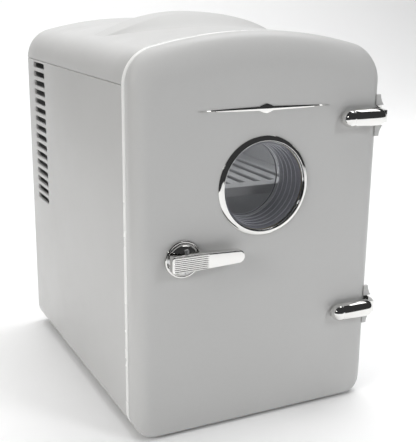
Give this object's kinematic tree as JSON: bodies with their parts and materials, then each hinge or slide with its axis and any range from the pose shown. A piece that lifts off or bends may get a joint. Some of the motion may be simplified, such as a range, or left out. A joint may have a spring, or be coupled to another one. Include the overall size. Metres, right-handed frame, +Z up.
{
  "type": "mini fridge",
  "caption": "Small retro mini fridge with an arched roof and carry handle, rolled door with a round porthole, pull lever latch and side hinges.",
  "frame": {"origin": "middle of the fridge's own box, on the surface it stands on", "axes": "+X to the hinge side, +Y to the back, +Z up"},
  "size_m": [0.2014, 0.268, 0.2955],
  "materials": {
    "body_grey": "satin moulded grey plastic",
    "white_plastic": "smooth white moulded plastic",
    "foam": "white bead foam",
    "chrome": "bright chrome plate",
    "steel": "plain bright steel",
    "aluminium": "extruded aluminium",
    "black_plastic": "black moulded plastic",
    "clear_plastic": "clear moulded plastic",
    "smoked_plastic": "clear pane with a smoky tint",
    "rubber": "black soft rubber",
    "gasket_grey": "pale soft gasket rubber",
    "ceramic": "white ceramic plates",
    "board_green": "green circuit board",
    "component_amber": "wound and moulded components",
    "magnet": "pressed magnet strip",
    "switch_red": "gloss red plastic"
  },
  "bodies": {
    "cabinet": {"side_shell": "body_grey", "top_cover": "body_grey", "carry_handle": "body_grey", "front_frame": "white_plastic", "liner": "white_plastic", "insulation": "foam", "bulkhead": "white_plastic", "rear_panel": "body_grey", "rear_screws": "steel", "feet": "rubber", "shelf": "white_plastic", "cold_sink": "aluminium", "inner_fan_frame": "black_plastic", "inner_grille": "white_plastic", "transfer_block": "aluminium", "peltier_module": "ceramic", "hot_sink": "aluminium", "rear_fan_frame": "black_plastic", "power_board": "board_green", "board_components": "component_amber", "ac_inlet": "black_plastic", "dc_inlet": "black_plastic", "switch_frame": "black_plastic", "keeper_plates": "steel", "upper_hinge_bracket": "chrome", "lower_hinge_bracket": "chrome", "upper_hinge_pin": "steel", "lower_hinge_pin": "steel", "hinge_screws": "steel"},
    "door": {"door_shell": "body_grey", "door_foam": "foam", "door_liner": "white_plastic", "door_gasket": "gasket_grey", "door_magnets": "magnet", "door_bin": "clear_plastic", "porthole_ring": "chrome", "porthole_lens": "clear_plastic", "porthole_tube": "clear_plastic", "porthole_pane": "smoked_plastic", "porthole_seal": "rubber", "door_ornament": "chrome", "latch_base": "chrome", "latch_dome": "chrome", "latch_pin": "steel", "latch_spring": "steel", "upper_hinge_arm": "chrome", "lower_hinge_arm": "chrome"},
    "lever": {"latch_lever": "chrome"},
    "plunger": {"latch_plunger": "white_plastic"},
    "rear_fan": {"rear_fan_rotor": "black_plastic"},
    "inner_fan": {"inner_fan_rotor": "black_plastic"},
    "rocker": {"switch_rocker": "switch_red"}
  },
  "joints": [
    {"name": "door_hinge", "type": "hinge", "parent": "cabinet", "child": "door", "pos_m": [0.09675, -0.114, 0.15], "axis": [0, 0, 1], "range_deg": [0, 115]},
    {"name": "lever_pull", "type": "hinge", "parent": "door", "child": "lever", "pos_m": [-0.06535, -0.129, 0.1344], "axis": [0, 0, -1], "range_deg": [0, 14], "stiffness_Nm_per_rad": 0.3},
    {"name": "plunger_push", "type": "slide", "parent": "door", "child": "plunger", "axis": [0, 1, 0], "range_m": [0, 0.0022]},
    {"name": "rear_fan_spin", "type": "hinge", "parent": "cabinet", "child": "rear_fan", "pos_m": [-0.00275, 0.115, 0.19], "axis": [0, 1, 0], "continuous": true},
    {"name": "inner_fan_spin", "type": "hinge", "parent": "cabinet", "child": "inner_fan", "pos_m": [-0.00275, 0.048, 0.19], "axis": [0, 1, 0], "continuous": true},
    {"name": "switch_rock", "type": "hinge", "parent": "cabinet", "child": "rocker", "pos_m": [0.04125, 0.1296, 0.046], "axis": [0, 0, 1], "range_deg": [-8, 8]}
  ],
  "couplings": [
    {"joint": "plunger_push", "follows": "lever_pull", "m_per_rad": 0.0088}
  ]
}
